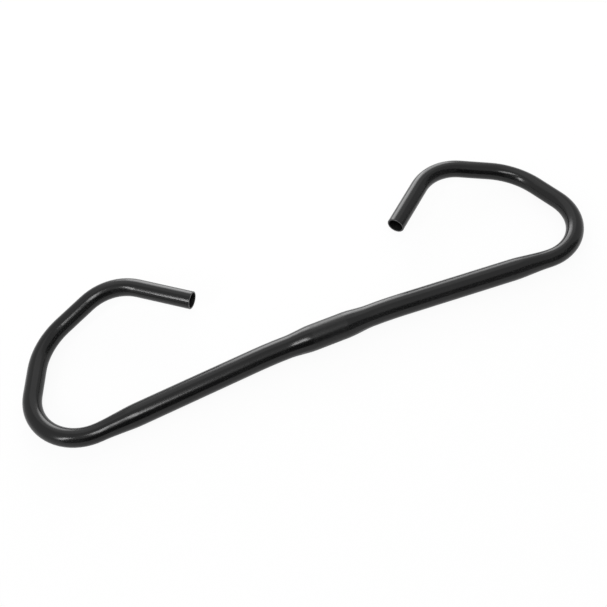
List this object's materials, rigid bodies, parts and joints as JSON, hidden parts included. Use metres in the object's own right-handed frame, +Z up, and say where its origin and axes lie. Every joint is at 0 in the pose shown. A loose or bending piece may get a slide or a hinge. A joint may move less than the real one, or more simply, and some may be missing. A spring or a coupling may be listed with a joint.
{
  "type": "handlebar",
  "caption": "Looped comfort handlebar bent from one black tube, with a thick stem clamp zone, a thinner front run, rounded hooks and open ends that turn back towards the middle.",
  "frame": {"origin": "centre of the stem clamp zone, on the tube's centre line", "axes": "+X along the clamp zone to the right end of the bar, +Y to the side the loops go, +Z up, square to the plane of the front run and hooks"},
  "size_m": [0.724, 0.1989, 0.045],
  "materials": {
    "handlebar": "satin black coat"
  },
  "bodies": {
    "root": {"handlebar": "handlebar"}
  },
  "joints": []
}
